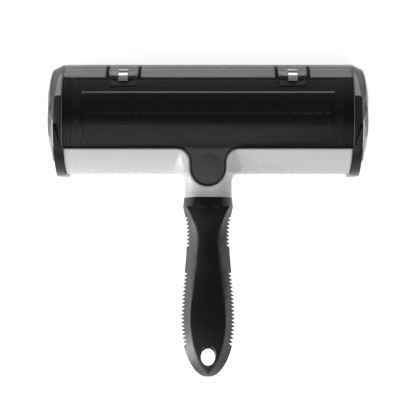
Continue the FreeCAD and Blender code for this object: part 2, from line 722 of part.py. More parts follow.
def make_grip():
    collar, waist, belly = size("collar_length"), size("waist_position"), size("belly_position")
    rims = []
    for u, word in ((0, "collar"), (collar, "flare")):
        foot = V(0, COLLAR_Y, NECK_Z) + GRIP_DIRECTION * u
        half_width, half_height = size(word + "_half_width"), size("collar_half_height")
        corner = size("collar_corner")
        rims.append(rounded_section(foot.y, foot.z, half_width, half_height, corner, -RISE))
    ring = Part.makeLoft(rims, True, True)
    steps = [collar + (waist - collar) * k / 4 for k in range(4)]
    steps += [waist + (belly - waist) * k / 6 for k in range(6)]
    tail = 12
    steps += [
        belly + (GRIP_LENGTH - belly) * math.sin(0.5 * math.pi * k / tail) for k in range(tail)
    ]
    body = Part.makeLoft([grip_wire(u) for u in steps], True, False)
    grip = ring.fuse(body).removeSplitter()
    pitch = size("rib_pitch")
    cuts = []
    for start, count in (("front_rib_start", "front_ribs"), ("rear_rib_start", "rear_ribs")):
        for k in range(int(size(count))):
            cuts += rib_groove(size(start) + pitch * k)
    grip = grip.cut([along_grip(wedge) for wedge in cuts])
    half_w, half_l, deep = size("eye_half_width"), size("eye_half_length"), size("eye_bevel")
    centre = V(0, -(GRIP_LENGTH - size("eye_offset")), 0)
    tall = size("belly_half_height")
    hole = Part.Face(Part.Wire(Part.Ellipse(centre, half_l, half_w).toShape()))
    hole.rotate(centre, V(0, 0, 1), 90)
    hole.translate(V(0, 0, -2 * tall))
    grip = grip.cut(along_grip(hole.extrude(V(0, 0, 4 * tall))))
    surface = grip_section(GRIP_LENGTH - size("eye_offset"))[2]
    for up in (1, -1):
        rims = []
        for grow, height in ((2 * deep, surface + deep), (0, surface - deep)):
            rim = Part.Wire(Part.Ellipse(centre, half_l + grow, half_w + grow).toShape())
            rim.rotate(centre, V(0, 0, 1), 90)
            rim.translate(V(0, 0, up * height))
            rims.append(rim)
        grip = grip.cut(along_grip(Part.makeLoft(rims, True, True)))
    gap = size("core_gap")
    socket = core_bar(gap, size("core_length") + gap)
    return grip.cut(socket)


# The solids that the shapes above make
for name, maker in (("lid", make_lid), ("housing_shell", make_housing), ("hood", make_hood)):
    node(name, shaped(name, maker()))
node("grip", shaped("grip", make_grip()))
SIDES = (("left", -1), ("right", 1))
for word, side in SIDES:
    node("end_plate_" + word, shaped("end_plate_" + word, make_end_plate(side)))
    node("hinge_clip_" + word, shaped("hinge_clip_" + word, make_clip(side * size("hinge_x"))))
for word, side in (("front", 1), ("rear", -1)):
    node("lint_pad_" + word, shaped("lint_pad_" + word, make_pad(side)))

# Drum: a tube with an end cap and a stub axle at each end
CORE = "drum_radius - pad_thickness"
tube = rod("TubeSolid", CORE, "-drum_length / 2", "drum_length", z="drum_radius")
bore = rod("TubeBore", CORE + " - drum_wall", "-drum_length / 2", "drum_length", z="drum_radius")
node("drum_tube", cut("DrumTube", tube, bore))
for word, side in SIDES:
    cap_start = "drum_length / 2 - cap_thickness" if side > 0 else "-drum_length / 2"
    cap = rod("Cap" + word, CORE + " - drum_wall", cap_start, "cap_thickness", z="drum_radius")
    hole = rod("CapHole" + word, "axle_radius", cap_start, "cap_thickness", z="drum_radius")
    node("drum_cap_" + word, cut("DrumCap" + word, cap, hole))
    length = "cap_thickness + axle_reach"
    start = cap_start if side > 0 else "-drum_length / 2 - axle_reach"
    node("drum_axle_" + word, rod("Axle" + word, "axle_radius", start, length, z="drum_radius"))
    bush_start = "drum_length / 2 + bush_gap"
    if side < 0:
        bush_start = "-drum_length / 2 - bush_gap - bush_length"
    sleeve = rod("Sleeve" + word, "bush_radius", bush_start, "bush_length", z="drum_radius")
    run = rod(
        "SleeveBore" + word, "axle_radius + running_gap", bush_start, "bush_length", z="drum_radius"
    )
    node("bush_" + word, cut("Bush" + word, sleeve, run))

# Chamber tray: long walls beside the drum, end walls with the bushes, and a deck round its mouth
INNER_X = "(drum_length / 2 + tray_gap)"
WALL_Y = "(drum_radius + tray_clear)"
BASE = "(rim_height + base_thickness)"
parts = []
for word, sign in (("Front", ""), ("Rear", "-")):
    y = WALL_Y if word == "Front" else "-" + WALL_Y + " - tray_wall"
    wall = box(
        "Wall" + word,
        ("-" + INNER_X, y, BASE),
        ("2 * " + INNER_X, "tray_wall", "tray_top - " + BASE),
    )
    lip = "lip_front" if word == "Front" else "-deck_rear"
    depth = "deck_front - lip_front" if word == "Front" else "deck_rear - lip_rear"
    deck = box(
        "Deck" + word,
        ("-" + INNER_X, lip, "tray_top - tray_wall"),
        ("2 * " + INNER_X, depth, "tray_wall"),
    )
    parts += [wall, deck]
for word, side in SIDES:
    x = INNER_X if side > 0 else "-" + INNER_X + " - tray_wall"
    parts.append(
        box(
            "EndWall" + word,
            (x, "-deck_rear", BASE),
            ("tray_wall", "deck_rear + deck_front", "tray_top - " + BASE),
        )
    )
    for front in (1, -1):
        sign_x, sign_y = ("" if side > 0 else "-"), ("" if front > 0 else "-")
        parts.append(
            bound(
                "Cylinder",
                f"Post{word}{front + 1}",
                (sign_x + "post_x", sign_y + "(" + WALL_Y + " + post_radius)", BASE),
                Radius="post_radius",
                Height="post_height",
            )
        )
tray_body = fuse("TrayBody", parts)
tray_holes = []
for word, side in SIDES:
    start = INNER_X if side > 0 else "-" + INNER_X + " - tray_wall"
    tray_holes.append(rod("Seat" + word, "bush_radius", start, "tray_wall", z="drum_radius"))
screw_places = [
    (sx + "post_x", sy + "(" + WALL_Y + " + post_radius)") for sx in ("", "-") for sy in ("", "-")
]
for i, (x, y) in enumerate(screw_places):
    tray_holes.append(
        bound(
            "Cylinder",
            f"Pilot{i}",
            (x, y, BASE),
            Radius="screw_radius + running_gap",
            Height="screw_length",
        )
    )
node("chamber_tray", cut("ChamberTray", tray_body, fuse("TrayHoles", tray_holes)))

# Bottom plate with the drum's slot and countersunk screw holes
plate = box(
    "BaseSolid",
    ("-body_length / 2", "-rear_flat", "rim_height"),
    ("body_length", "rear_flat + head_depth / 2 - hood_wall - side_gap", "base_thickness"),
)
base_holes = [
    box(
        "DrumSlot",
        ("-" + INNER_X, "-0.75 * drum_radius", "rim_height"),
        ("2 * " + INNER_X, "1.5 * drum_radius", "base_thickness"),
    )
]
heads, shanks, sockets = [], [], []
SINK_DEPTH = "screw_recess + screw_head_height"
for i, (x, y) in enumerate(screw_places):
    head_z = "rim_height + screw_recess"
    for group, tag, radius, z, tall in (
        (base_holes, "Sink", "screw_head + running_gap", "rim_height", SINK_DEPTH),
        (base_holes, "Clear", "screw_radius + running_gap", "rim_height", "base_thickness"),
        (heads, "Head", "screw_head", head_z, "screw_head_height"),
        (shanks, "Shank", "screw_radius", head_z, "screw_length"),
        (sockets, "Socket", "socket_radius", head_z, "screw_head_height / 2"),
    ):
        group.append(bound("Cylinder", f"{tag}{i}", (x, y, z), Radius=radius, Height=tall))
node("base_frame", cut("BaseFrame", plate, fuse("BaseHoles", base_holes)))
node("base_screws", cut("BaseScrews", fuse("ScrewBodies", heads + shanks), fuse("Sockets", sockets)))

# Wiper blades beside the drum and the scraper strip on the front lip
BLADE_Z = "(rim_height + base_thickness + blade_height)"
BLADE_Y = f"(sqrt(drum_radius ^ 2 - (drum_radius - {BLADE_Z}) ^ 2) + blade_gap)"
for word, front in (("front", True), ("rear", False)):
    y = BLADE_Y if front else "-" + BLADE_Y + " - blade_thickness"
    blade = box(
        "Blade" + word,
        ("-drum_length / 2", y, BASE),
        ("drum_length", "blade_thickness", "blade_height"),
    )
    node("wiper_" + word, blade)
strip = bound(
    "Wedge",
    "Strip",
    Xmin="-drum_length / 2",
    Xmax="drum_length / 2",
    X2min="-drum_length / 2",
    X2max="drum_length / 2",
    Ymin="lip_front",
    Ymax="lip_front + strip_width",
    Zmin="tray_top",
    Z2min="tray_top",
    Zmax="tray_top + strip_rear",
    Z2max="tray_top + strip_height",
)
node("scraper_strip", strip)

# Hinge tabs on the deck, and the pins through them
for word, side in SIDES:
    x = "hinge_x" if side > 0 else "-hinge_x"
    tab = box(
        "TabBlock" + word,
        (x + " - tab_width / 2", "tab_rear", "tray_top"),
        ("tab_width", "deck_front - tab_rear", "body_radius"),
    )
    height = "(axis_height + sqrt((body_radius - bead_radius) ^ 2 - hinge_offset ^ 2))"
    side_start = x + " - tab_width / 2"
    under_hood = "head_depth / 2 - hood_wall - tab_gap"
    limit = rod("TabLimit" + word, under_hood, side_start, "tab_width")
    back = rod("TabBack" + word, "tab_radius", side_start, "tab_width", "hinge_offset", height)
    tab = common("TabForm" + word, [tab, limit, back])
    start = x + " - pin_length / 2"
    eye = rod("TabEye" + word, "pin_radius", start, "pin_length", "hinge_offset", height)
    node("hinge_tab_" + word, cut("HingeTab" + word, tab, eye))
    pin = rod("Pin" + word, "pin_radius", start, "pin_length", "hinge_offset", height)
    node("hinge_pin_" + word, pin)

doc.recompute()

# Nothing is written unless every object is sound
for obj in doc.Objects:
    if {"Invalid", "Error"} & set(obj.State):
        raise RuntimeError(f"{obj.Label} failed: {obj.State}")
for name, obj in nodes.items():
    if obj.Shape.isNull() or not obj.Shape.isValid() or not obj.Shape.Solids:
        raise RuntimeError(f"{name} has no sound solid")
for name, obj in nodes.items():
    obj.Shape.exportStep(f"parts/{name}.step")
print(f"{len(nodes)} sub-parts written")
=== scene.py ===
import json
import math
import random

import bpy
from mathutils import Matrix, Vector
from mathutils.bvhtree import BVHTree

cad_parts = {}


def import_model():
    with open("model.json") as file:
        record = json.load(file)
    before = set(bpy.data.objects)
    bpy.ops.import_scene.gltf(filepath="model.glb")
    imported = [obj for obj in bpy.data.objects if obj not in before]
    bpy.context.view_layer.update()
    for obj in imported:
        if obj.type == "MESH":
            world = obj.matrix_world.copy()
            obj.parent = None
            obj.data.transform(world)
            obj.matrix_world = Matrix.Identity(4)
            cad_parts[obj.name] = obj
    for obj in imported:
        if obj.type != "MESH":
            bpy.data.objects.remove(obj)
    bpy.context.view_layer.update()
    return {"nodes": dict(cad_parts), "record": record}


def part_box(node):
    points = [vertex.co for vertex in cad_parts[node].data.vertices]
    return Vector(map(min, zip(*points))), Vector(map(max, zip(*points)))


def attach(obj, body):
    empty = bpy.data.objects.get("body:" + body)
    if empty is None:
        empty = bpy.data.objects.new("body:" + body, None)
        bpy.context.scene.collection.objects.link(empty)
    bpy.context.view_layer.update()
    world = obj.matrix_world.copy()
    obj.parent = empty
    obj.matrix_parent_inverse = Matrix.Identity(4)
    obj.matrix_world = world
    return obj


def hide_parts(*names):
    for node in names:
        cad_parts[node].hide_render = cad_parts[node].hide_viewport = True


MM = 0.001

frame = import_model()
NODES = frame["nodes"]


def grey(value):
    return (value, value, value)


# The photograph was taken from straight above, about 0.9 m over the head.
CAMERA_Y = 6.8 * MM
CAMERA_Z = 926 * MM
VIEW_ANGLE = math.radians(15.96)

# Brightness of the studio from the horizon up to straight overhead
SKY = [(0.0, grey(0.75)), (0.35, grey(0.55)), (0.75, grey(0.19)), (1.0, grey(0.05))]
# Area lamps: name, place, target, size, watts
LAMPS = [
    ("softbox_rear", (-0.15, -0.8, 1.0), (0, 0, 0), (1.5, 1.4), 8),
    ("softbox_left", (-1.2, -0.1, 0.42), (0, 0, 0.02), (1.1, 0.55), 6),
    ("strip_low", (-0.95, -0.5, 0.1), (0, -0.08, 0.04), (0.3, 0.2), 3),
]
FLOOR_SIZE = 6
FLOOR_GLOW = 0.74

# Node: rounding of its moulded edges
EDGES = {
    "lid": 0.35 * MM,
    "end_plate_left": 0.5 * MM,
    "end_plate_right": 0.5 * MM,
    "hood": 0.3 * MM,
    "hinge_tab_left": 0.4 * MM,
    "hinge_tab_right": 0.4 * MM,
    "chamber_tray": 0.3 * MM,
    "grip": 0.4 * MM,
}
SHARP = math.radians(28)
WELD = 0.001 * MM

# White shell: how far its creases are blended
SHELL_BLEND = 2.2 * MM

# Hood: its opacity and tint go from the upright wall to the wall that faces up; the tint is
# painted light, dark on the upright wall and pale where the wall faces up.
HOOD_OPAQUE = (0.93, 0.44)
HOOD_OPAQUE_SLOPE = (0.1, 0.55)
HOOD_TINT_AND_PAINTED_LIGHT = (0.07, 0.62)
HOOD_PAINTED_LIGHT_SLOPE = (0.3, 0.6)
# Beyond END_X it is dark smoke, but its rims from RIM_X to RIM_END are clearer behind RIM_Y.
END_X = 85.8 * MM
END_OPAQUE = 0.5
END_TINT = 0.06
RIM_X = 94.3 * MM
RIM_END = 97.1 * MM
RIM_Y = 75 * MM
RIM_SOFT = 0.6 * MM
RIM_CLEAR = 0.34

# Lid: opacity over the chamber and of the solid tongue
LID_OPAQUE = 0.38
TONGUE_OPAQUE = 0.95
TONGUE_SOFT = 1 * MM

# Grip: gloss of its sides and of its top, and the slopes between which one turns into the other
GRIP_SIDE_GLOSS = 0.92
GRIP_TOP_GLOSS = 0.24
GRIP_SLOPE = (0.72, 0.92)

# Lint pads: slanting pile on a woven backing
PILE_STEP = 0.7 * MM
PILE_HEIGHT = 1.1 * MM
PILE_LEAN = 0.6 * MM
BLADE_WIDTH = 0.4 * MM
TIP_SPREAD = 0.25 * MM
FRAYED_ROWS = 2
PAD_MARGIN = 0.3 * MM
BACKING_STEPS = 48
PILE_SEED = 11

# The head's axis, and the hood with the two slots of each spring tab
HEAD_Y = 60 * MM
AXIS_Z = 22 * MM
HOOD_R = 34 * MM
HOOD_INSIDE = HOOD_R - 1.2 * MM
SLOT_X = (40.75 * MM, 59.85 * MM)

# Strips inside the hood: angles over the horizontal, and how deep under its wall they lie
ARC_STEPS = 14
SLOT_SHADE_HALF = 1.3 * MM
SLOT_SHADE_ARC = (12, 41)
SLOT_SHADE_DEPTH = (1.2 * MM, 0.05 * MM)
PLATE_ARC = (6, 39.5)
PLATE_DEPTH = (0.24 * MM, 0.04 * MM)

# Painted shadow behind a spring tab, a thin black strip: its place in front of the head's axis,
# and heights over the hood's wall
TAB_SHADE_Y = 24.4 * MM
TAB_SHADE_WIDTH = 0.8 * MM
TAB_SHADE_HALF = 7.5 * MM
TAB_SHADE_CORNER = 1.8 * MM
TAB_SHADE_LOW = -0.4 * MM
TAB_SHADE_HIGH = 0.06 * MM
TAB_SHADE_STEPS = 40

# The lid's rear edge and tongue in plan, from the head's axis, and the black strip of painted
# shade along them
LID_REAR = -17.5 * MM
TONGUE_R = 10.3 * MM
TONGUE_Y = -29.4 * MM
TONGUE_FILLET = 8.5 * MM
TONGUE_SLOPE = 0.316
SEAM_STEPS = 12
SEAM_SHADE_WIDTH = 0.7 * MM
SEAM_SHADE_RISE = 0.06 * MM
SEAM_SHADE_DEPTH = 0.4 * MM
# The shade strip's height is read a little inside the lid's edge.
INWARD = 0.999
FORWARD = 0.05 * MM

# A clip's side view: distance in front of the head's axis and height over that axis, in mm
CLIP_PROFILE = [
    (29.6, 19.5), (28.6, 20.1), (27.2, 20.4), (27.1, 23.0), (25.7, 24.8), (25.6, 23.8),
    (24.5, 24.0), (24.4, 25.4), (22.1, 26.0), (22.0, 25.4), (26.0, 21.6), (29.6, 16.4),
]
CLIP_EDGE = 0.12 * MM

# Soft strips at the bottom plate's ends
SEAL_RADIUS = 0.6 * MM
SEAL_INSET = 1 * MM
SEAL_STEPS = 6


# Shader helpers

def new_material(name):
    """A material with its tree, its Principled shader and the part's own coordinates."""
    material = bpy.data.materials.new(name)
    material.use_nodes = True
    tree = material.node_tree
    shader = tree.nodes["Principled BSDF"]
    place = tree.nodes.new("ShaderNodeTexCoord").outputs["Object"]
    return material, tree, shader, place


def split(tree, vector):
    """The X, Y and Z outputs of a vector."""
    node = tree.nodes.new("ShaderNodeSeparateXYZ")
    tree.links.new(vector, node.inputs["Vector"])
    return node.outputs


def normal(tree):
    """The part's own normal, split into X, Y and Z."""
    return split(tree, tree.nodes.new("ShaderNodeTexCoord").outputs["Normal"])


def stretched(tree, place, scale):
    """Coordinates in metres, multiplied along each axis."""
    mapping = tree.nodes.new("ShaderNodeMapping")
    mapping.inputs["Scale"].default_value = scale
    tree.links.new(place, mapping.inputs["Vector"])
    return mapping.outputs["Vector"]


def noise(tree, place, scale=1, detail=3, roughness=0.5):
    texture = tree.nodes.new("ShaderNodeTexNoise")
    texture.inputs["Scale"].default_value = scale
    texture.inputs["Detail"].default_value = detail
    texture.inputs["Roughness"].default_value = roughness
    tree.links.new(place, texture.inputs["Vector"])
    return texture.outputs["Fac"]


def between(tree, value, low, high, start=0.3, end=0.7):
    """Value mapped from start..end to low..high."""
    node = tree.nodes.new("ShaderNodeMapRange")
    node.inputs["From Min"].default_value = start
    node.inputs["From Max"].default_value = end
    node.inputs["To Min"].default_value = low
    node.inputs["To Max"].default_value = high
    tree.links.new(value, node.inputs["Value"])
    return node.outputs["Result"]


def step(tree, value, low, high, edge, half):
    """Low before an edge and high beyond it, blended over half on each side."""
    return between(tree, value, low, high, edge - half, edge + half)


def ramp(tree, value, stops):
    """Colour ramp over (position, colour) stops."""
    node = tree.nodes.new("ShaderNodeValToRGB")
    elements = node.color_ramp.elements
    while len(elements) < len(stops):
        elements.new(0.5)
    for element, (position, colour) in zip(elements, stops):
        element.position = position
        element.color = (*colour, 1)
    tree.links.new(value, node.inputs["Fac"])
    return node.outputs["Color"]


def combine(tree, operation, first, second=None):
    node = tree.nodes.new("ShaderNodeMath")
    node.operation = operation
    tree.links.new(first, node.inputs[0])
    if second is not None:
        tree.links.new(second, node.inputs[1])
    return node.outputs["Value"]


def tone(tree, shader, value, low, high, start=0.3, end=0.7):
    """Base colour from one grey to another along a texture."""
    stops = [(start, grey(low)), (end, grey(high))]
    tree.links.new(ramp(tree, value, stops), shader.inputs["Base Color"])


def roughen(tree, shader, value, low, high):
    """Roughness from low to high along a texture."""
    tree.links.new(between(tree, value, low, high), shader.inputs["Roughness"])


def gloss(shader, level):
    shader.inputs["Specular IOR Level"].default_value = level


def bump(tree, shader, height, distance, strength):
    """A bumped surface. It gives back the input for the normal that the bump starts from."""
    node = tree.nodes.new("ShaderNodeBump")
    node.inputs["Distance"].default_value = distance
    node.inputs["Strength"].default_value = strength
    tree.links.new(height, node.inputs["Height"])
    tree.links.new(node.outputs["Normal"], shader.inputs["Normal"])
    return node.inputs["Normal"]


# Materials

def white_shell():
    """Glossy white moulded plastic with a faint mottle, orange peel and blended creases."""
    material, tree, shader, place = new_material("white_shell")
    tone(tree, shader, noise(tree, place, 60, 4), 0.63, 0.642)
    roughen(tree, shader, noise(tree, place, 900, 2), 0.26, 0.29)
    peel = bump(tree, shader, noise(tree, place, 1400, 2), 0.004 * MM, 0.1)
    blend = tree.nodes.new("ShaderNodeBevel")
    blend.samples = 8
    blend.inputs["Radius"].default_value = SHELL_BLEND
    tree.links.new(blend.outputs["Normal"], peel)
    return material


def smoky(name, roughness, level):
    """Smoked clear plastic, with the flow lines that its tint follows."""
    material, tree, shader, place = new_material(name)
    flow = noise(tree, stretched(tree, place, (14, 40, 40)), detail=4)
    scuff = noise(tree, stretched(tree, place, (90, 900, 900)))
    roughen(tree, shader, scuff, roughness, roughness + 0.05)
    gloss(shader, level)
    return material, tree, shader, split(tree, place), flow


def smoky_clear():
    """The hood: pale smoke, denser where its wall stands upright and is seen edge on, with painted
    light in its colour: darker upright, paler where it faces up.
    """
    material, tree, shader, spot, flow = smoky("smoky_clear", 0.14, 0.22)
    slope = combine(tree, "ABSOLUTE", normal(tree)["Z"])
    away = combine(tree, "ABSOLUTE", spot["X"])

    wall = between(tree, slope, *HOOD_OPAQUE, *HOOD_OPAQUE_SLOPE)
    ends = step(tree, away, HOOD_OPAQUE[1], END_OPAQUE, END_X, RIM_SOFT)
    rim = between(tree, away, 0, RIM_CLEAR, RIM_X, RIM_X + RIM_SOFT)
    rim = combine(tree, "MULTIPLY", rim, step(tree, spot["Y"], 1, 0, RIM_Y, RIM_SOFT))
    outside = between(tree, away, 1, 0, RIM_END, RIM_END + RIM_SOFT / 2)
    rim = combine(tree, "MULTIPLY", rim, outside)
    opaque = combine(tree, "SUBTRACT", combine(tree, "MAXIMUM", wall, ends), rim)
    tree.links.new(opaque, shader.inputs["Alpha"])

    # Painted light: the smoke's colour is darker where the wall stands upright and paler where it
    # faces up.
    tint_and_painted_light = between(tree, slope, *HOOD_TINT_AND_PAINTED_LIGHT, *HOOD_PAINTED_LIGHT_SLOPE)
    tint_and_painted_light = combine(tree, "MULTIPLY", tint_and_painted_light, between(tree, flow, 0.9, 1.1))
    tint_and_painted_light = combine(tree, "MULTIPLY", tint_and_painted_light, step(tree, away, 1, END_TINT, END_X, RIM_SOFT))
    tree.links.new(tint_and_painted_light, shader.inputs["Base Color"])
    return material


def smoky_dark():
    """The lid: dark smoke over the chamber, nearly black in the solid tongue behind it."""
    material, tree, shader, spot, flow = smoky("smoky_dark", 0.22, 0.5)
    tone(tree, shader, flow, 0.006, 0.0078)
    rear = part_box("housing_shell")[1].y
    opaque = step(tree, spot["Y"], TONGUE_OPAQUE, LID_OPAQUE, rear, TONGUE_SOFT)
    tree.links.new(opaque, shader.inputs["Alpha"])
    return material


def black_gloss():
    """Black moulded plastic with a polish."""
    material, tree, shader, place = new_material("black_gloss")
    tone(tree, shader, noise(tree, place, 120), 0.006, 0.010)
    roughen(tree, shader, noise(tree, place, 700, 2), 0.16, 0.26)
    gloss(shader, 0.2)
    bump(tree, shader, noise(tree, place, 1600, 2), 0.01 * MM, 0.3)
    return material


def black_satin():
    """Black moulded plastic with a spark-eroded grain."""
    material, tree, shader, place = new_material("black_satin")
    grain = noise(tree, place, 3500, 2)
    tone(tree, shader, grain, 0.010, 0.022)
    roughen(tree, shader, grain, 0.42, 0.58)
    bump(tree, shader, grain, 0.03 * MM, 0.6)
    return material


def grip_rubber():
    """Soft black rubber, with a fine matt skin that shines more on the grip's sides."""
    material, tree, shader, place = new_material("grip_rubber")
    wear = noise(tree, place, 45)
    tone(tree, shader, wear, 0.005, 0.008)
    roughen(tree, shader, wear, 0.36, 0.46)
    shine = between(tree, normal(tree)["Z"], GRIP_SIDE_GLOSS, GRIP_TOP_GLOSS, *GRIP_SLOPE)
    tree.links.new(shine, shader.inputs["Specular IOR Level"])
    bump(tree, shader, noise(tree, place, 2600), 0.02 * MM, 0.5)
    return material


def bright_clip():
    """Polished spring steel."""
    material, tree, shader, place = new_material("bright_clip")
    brushed = noise(tree, stretched(tree, place, (3000, 60, 60)), detail=2)
    tone(tree, shader, brushed, 0.80, 0.90)
    roughen(tree, shader, brushed, 0.14, 0.22)
    shader.inputs["Metallic"].default_value = 1
    return material


def bright_strip():
    """Hard plastic edge, painted near white: a painted highlight for the glint along its lip."""
    material, tree, shader, place = new_material("bright_strip")
    streak = noise(tree, stretched(tree, place, (40, 900, 900)))
    # Painted highlight: the near-white tone stands in for a glint along the edge.
    tone(tree, shader, streak, 0.92, 0.98)
    roughen(tree, shader, streak, 0.18, 0.26)
    return material


def drawn_steel(name):
    """The start of a drawn steel, with its draw lines along X."""
    material, tree, shader, place = new_material(name)
    return material, tree, shader, noise(tree, stretched(tree, place, (30, 2200, 2200)))


def steel():
    """Plain steel of the screws and the drum's axles."""
    material, tree, shader, drawn = drawn_steel("steel")
    tone(tree, shader, drawn, 0.42, 0.56)
    roughen(tree, shader, drawn, 0.26, 0.38)
    shader.inputs["Metallic"].default_value = 1
    return material


def blued_steel():
    """Blackened hinge pins."""
    material, tree, shader, drawn = drawn_steel("blued_steel")
    tone(tree, shader, drawn, 0.006, 0.012)
    roughen(tree, shader, drawn, 0.3, 0.45)
    gloss(shader, 0.25)
    return material


def tab_backing():
    """Pale plastic behind the hood's spring tabs."""
    material, tree, shader, place = new_material("tab_backing")
    mottle = noise(tree, place, 700)
    tone(tree, shader, mottle, 0.86, 0.94)
    roughen(tree, shader, mottle, 0.4, 0.55)
    return material


def painted_gap_shade():
    """Matt black of the strips along the lid's seam, in the hood's slots and behind the tabs:
    painted shade where gaps fall dark.
    """
    material, tree, shader, place = new_material("painted_gap_shade")
    skin = noise(tree, place, 1800, 2)
    # Painted shade: a near-black tone for strips put in gaps where shade falls.
    tone(tree, shader, skin, 0.002, 0.004)
    roughen(tree, shader, skin, 0.6, 0.75)
    gloss(shader, 0.2)
    return material


def wiper_rubber():
    """Grey elastomer of the wipers and the end seals."""
    material, tree, shader, place = new_material("wiper_rubber")
    dust = noise(tree, place, 300, 4)
    tone(tree, shader, dust, 0.035, 0.07, end=0.75)
    roughen(tree, shader, dust, 0.55, 0.7)
    bump(tree, shader, noise(tree, place, 2000, 2), 0.02 * MM, 0.5)
    return material


def bush_plastic():
    """Natural acetal."""
    material, tree, shader, place = new_material("bush_plastic")
    mottle = noise(tree, place, 400)
    tone(tree, shader, mottle, 0.66, 0.74)
    roughen(tree, shader, mottle, 0.35, 0.45)
    return material


def lint_fabric():
    """Dense short slanted pile, brushed one way round the drum."""
    material, tree, shader, place = new_material("lint_fabric")
    pile = noise(tree, stretched(tree, place, (2400, 700, 700)), detail=4, roughness=0.7)
    tone(tree, shader, pile, 0.022, 0.085)
    roughen(tree, shader, noise(tree, place, 70), 0.85, 0.98)
    shader.inputs["Sheen Weight"].default_value = 0.5
    shader.inputs["Sheen Roughness"].default_value = 0.4
    bump(tree, shader, pile, 0.25 * MM, 0.9)
    return material


def pale_fibre():
    """Frayed pale threads along a pad's cut edge."""
    material, tree, shader, place = new_material("pale_fibre")
    speckle = noise(tree, place, 900, 2)
    tone(tree, shader, speckle, 0.06, 0.55, 0.4, 0.6)
    roughen(tree, shader, speckle, 0.8, 0.95)
    return material


# The record's material slots
FINISHES = {
    "white_shell": white_shell,
    "smoky_clear": smoky_clear,
    "smoky_dark": smoky_dark,
    "black_gloss": black_gloss,
    "black_satin": black_satin,
    "grip_rubber": grip_rubber,
    "bright_clip": bright_clip,
    "bright_strip": bright_strip,
    "steel": steel,
    "wiper_rubber": wiper_rubber,
    "bush_plastic": bush_plastic,
    "lint_fabric": lint_fabric,
}


def dress(obj, material):
    obj.data.materials.clear()
    obj.data.materials.append(material)


def dress_nodes():
    """Every CAD node takes the finish of its slot."""
    made = {slot: build() for slot, build in FINISHES.items()}
    for part in frame["record"]["subparts"]:
        dress(NODES[part["node"]], made[part["material_slot"]])
    return made


def round_edges(obj, width):
    bevel = obj.modifiers.new("edges", "BEVEL")
    bevel.width = width
    bevel.segments = 2
    return bevel


def soften(node, width):
    """Rounds the sharp edges of a node as a mould leaves them."""
    obj = NODES[node]
    weld = obj.modifiers.new("weld", "WELD")
    weld.merge_threshold = WELD
    bevel = round_edges(obj, width)
    bevel.limit_method = "ANGLE"
    bevel.angle_limit = SHARP


# Pieces from points

def piece(name, verts, faces, materials, body):
    """A mesh that rides on a body."""
    mesh = bpy.data.meshes.new(name)
    mesh.from_pydata(verts, [], faces)
    for material in materials:
        mesh.materials.append(material)
    mesh.update()
    obj = bpy.data.objects.new(name, mesh)
    bpy.context.scene.collection.objects.link(obj)
    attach(obj, body)
    return obj


def prism(name, near, far, material):
    """A closed piece of the housing between two outlines of as many points."""
    count = len(near)
    faces = [tuple(range(count)), tuple(reversed(range(count, 2 * count)))]
    faces += [(k, count + k, count + (k + 1) % count, (k + 1) % count) for k in range(count)]
    return piece(name, near + far, faces, [material], "housing")


def bar(name, rings, material, body):
    """A closed piece through rings of four points each."""
    verts = [point for ring in rings for point in ring]
    last = len(verts) - 4
    faces = [(0, 1, 2, 3), (last + 3, last + 2, last + 1, last)]
    for a in range(0, last, 4):
        b = a + 4
        faces += [(a + i, a + (i + 1) % 4, b + (i + 1) % 4, b + i) for i in range(4)]
    return piece(name, verts, faces, [material], body)


def arc_strip(name, ends, depths, arc, material):
    """A strip inside the hood's wall, from one x to another, over an arc round the head's axis."""
    (start, end), (inner, outer) = ends, (HOOD_INSIDE - depth for depth in depths)
    corners = ((start, inner), (start, outer), (end, outer), (end, inner))
    rings = []
    for k in range(ARC_STEPS + 1):
        angle = math.radians(arc[0] + (arc[1] - arc[0]) * k / ARC_STEPS)
        forward, up = math.cos(angle), math.sin(angle)
        rings.append([(x, HEAD_Y + r * forward, AXIS_Z + r * up) for x, r in corners])
    return bar(name, rings, material, "housing")


def word(side):
    return "left" if side < 0 else "right"


# Lint pads

def pad_backing(point, ends, arc, radii):
    """Woven backing round the drum's tube, open towards the tube."""
    (left, right), (core, base) = ends, radii
    corners = ((left, core), (left, base), (right, base), (right, core))
    verts = []
    for k in range(BACKING_STEPS + 1):
        angle = arc[0] + (arc[1] - arc[0]) * k / BACKING_STEPS
        verts += [point(x, angle, radius) for x, radius in corners]
    last = 4 * BACKING_STEPS
    faces = [(a + i, a + i + 1, a + i + 5, a + i + 4) for a in range(0, last, 4) for i in range(3)]
    faces += [(0, 1, 2, 3), (last + 3, last + 2, last + 1, last)]
    return verts, faces


def pad_pile(rng, point, ends, arc, radii):
    """Slanting blades of three points each, with whether a blade is frayed."""
    (left, right), (first, last), (base, outer) = ends, arc, radii
    rows = int((last - first) * outer / PILE_STEP)
    columns = int((right - left) / PILE_STEP)
    lean, half = PILE_LEAN / outer, BLADE_WIDTH / 2
    for row in range(rows):
        for column in range(columns):
            angle = first + (row + rng.random()) / rows * (last - first - lean)
            x = left + half + (column + rng.random()) * (right - left - 2 * half) / columns
            twist = rng.uniform(-half, half) / outer
            tip = outer - rng.random() * TIP_SPREAD
            yield row < FRAYED_ROWS, [
                point(x - half, angle - twist, base),
                point(x + half, angle + twist, base),
                point(x + rng.uniform(-half, half), angle + lean, tip),
            ]


